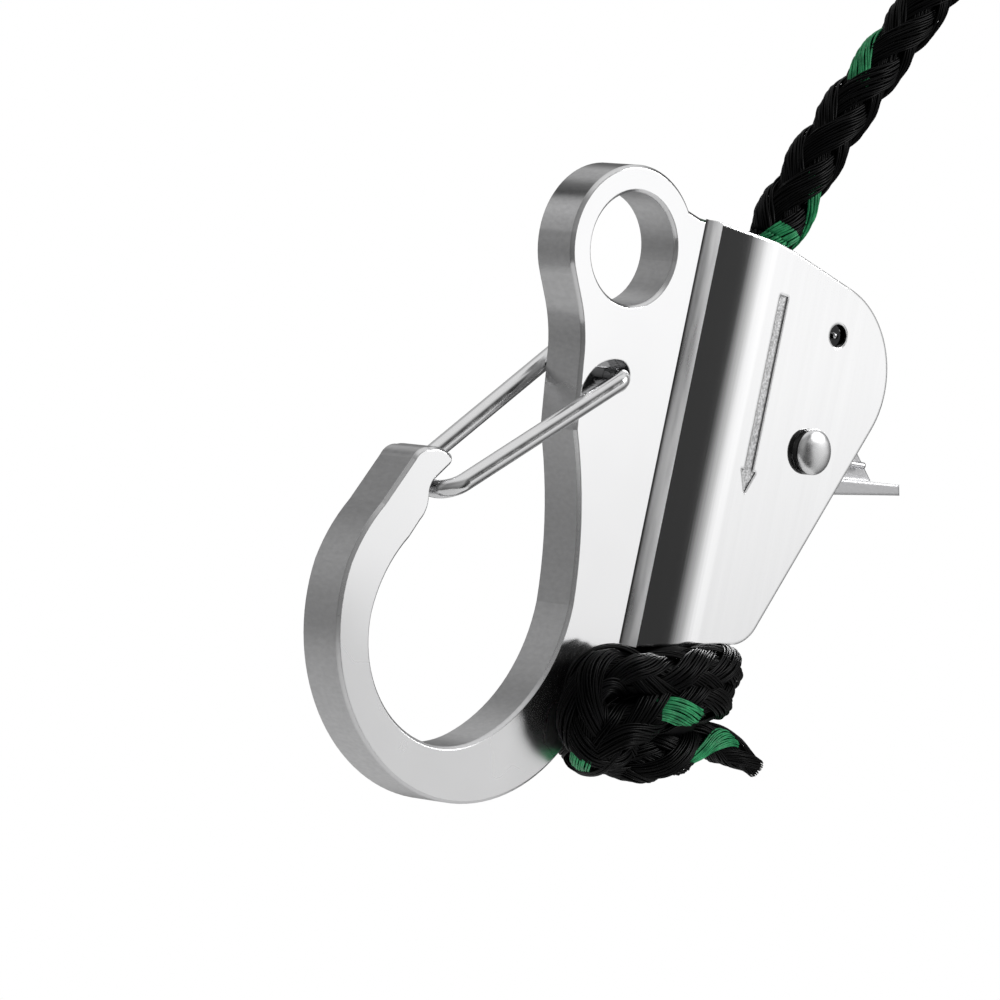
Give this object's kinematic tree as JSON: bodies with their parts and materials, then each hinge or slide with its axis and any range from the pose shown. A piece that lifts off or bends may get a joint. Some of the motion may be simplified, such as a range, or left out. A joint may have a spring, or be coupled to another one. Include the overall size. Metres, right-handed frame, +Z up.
{
  "type": "eye hook with latch",
  "caption": "Polished steel eye hook with a sprung wire gate, a cam rope lock welded along its back, and a braided rope tied under the lock.",
  "frame": {"origin": "centre of the eye bore on the middle plane of the plate", "axes": "+X from the hook towards the rope housing, +Y out of the plate's rear face, +Z up along the housing towards the eye"},
  "size_m": [0.1835, 0.035, 0.2627],
  "materials": {
    "polished_steel": "mirror polished stainless",
    "pin_steel": "polished",
    "bush_brass": "machined",
    "spacer_plastic": "matte",
    "cam_steel": "satin",
    "spring_steel": "drawn wire",
    "wire_steel": "polished wire",
    "weld_steel": "ground and polished",
    "rope_black": "glossy braided filament with a green tracer",
    "whipping": "waxed twine",
    "thimble_steel": "polished"
  },
  "bodies": {
    "frame": {"hook_plate": "polished_steel", "lock_housing": "polished_steel", "weld_seam_front": "weld_steel", "weld_seam_rear": "weld_steel", "pivot_pin": "pin_steel", "pin_washer": "pin_steel", "cam_bush": "bush_brass", "spacer_front": "spacer_plastic", "spacer_rear": "spacer_plastic", "torsion_spring": "spring_steel", "rope_in_lock": "rope_black", "rope_line": "rope_black", "eye_seizing": "whipping", "rope_eye": "rope_black", "eye_thimble": "thimble_steel", "stopper_knot": "rope_black"},
    "gate": {"gate_wire": "wire_steel"},
    "lever": {"cam_lever": "cam_steel", "spring_tab_leg": "spring_steel"}
  },
  "joints": [
    {"name": "gate_hinge", "type": "hinge", "parent": "frame", "child": "gate", "pos_m": [0.0032, 0, -0.0284], "axis": [0, -1, 0], "range_deg": [0, 48], "stiffness_Nm_per_rad": 0.12, "springref_deg": -20.05},
    {"name": "cam_hinge", "type": "hinge", "parent": "frame", "child": "lever", "pos_m": [0.063, 0, -0.0322], "axis": [0, -1, 0], "range_deg": [0, 25], "stiffness_Nm_per_rad": 0.25, "springref_deg": -22.92}
  ]
}
